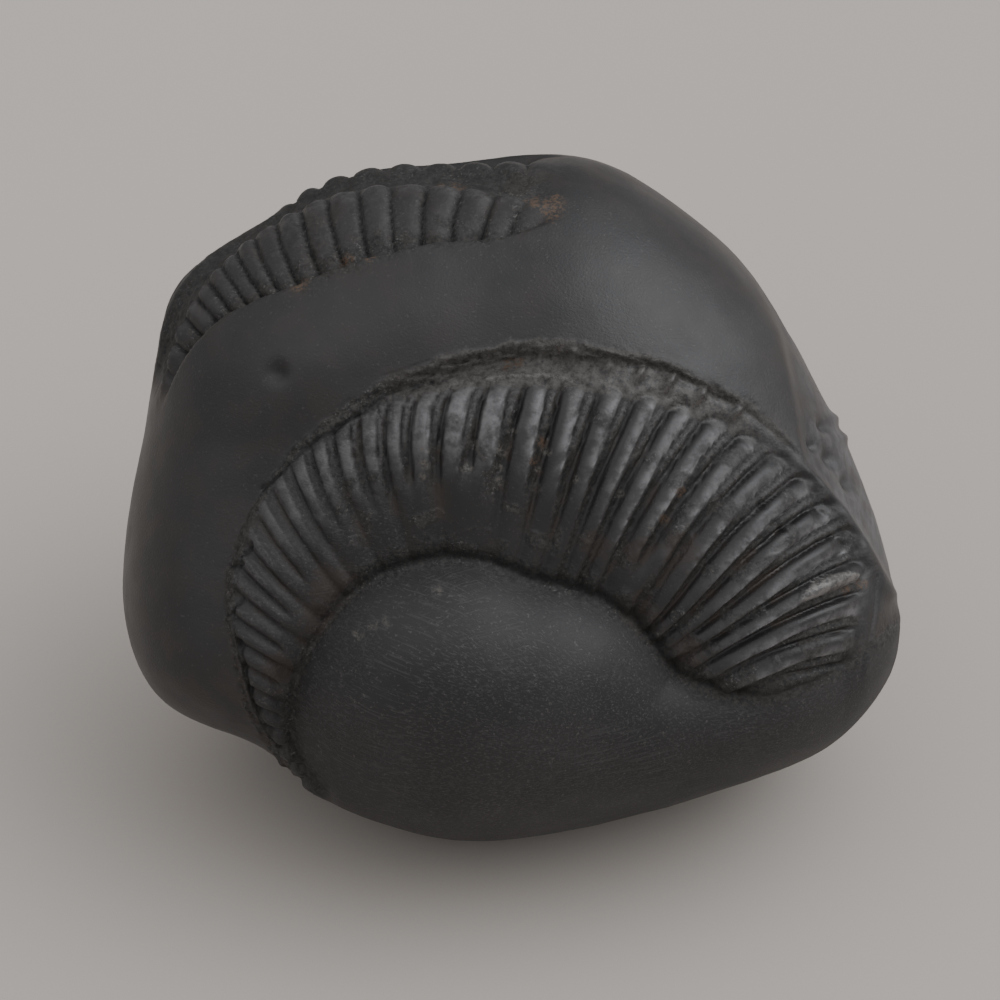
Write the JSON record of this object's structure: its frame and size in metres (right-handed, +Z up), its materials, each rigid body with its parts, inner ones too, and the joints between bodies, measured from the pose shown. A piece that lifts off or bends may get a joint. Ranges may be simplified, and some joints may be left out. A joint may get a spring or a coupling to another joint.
{
  "type": "shaligram fossil stone",
  "caption": "Smooth black water-worn stone with a ribbed ammonite showing in its face and a second ribbed strip along its top edge; it rests on a small flat.",
  "frame": {"origin": "middle of the stone's box, on the surface it rests on", "axes": "+X to the right along the stone's longest side, seen from the fossil's side; +Y away from that side; +Z up"},
  "size_m": [0.1108, 0.0884, 0.0908],
  "materials": {
    "black_stone": "satin, worn smooth, rougher between the ribs"
  },
  "bodies": {
    "root": {"shaligram_stone": "black_stone"}
  },
  "joints": []
}
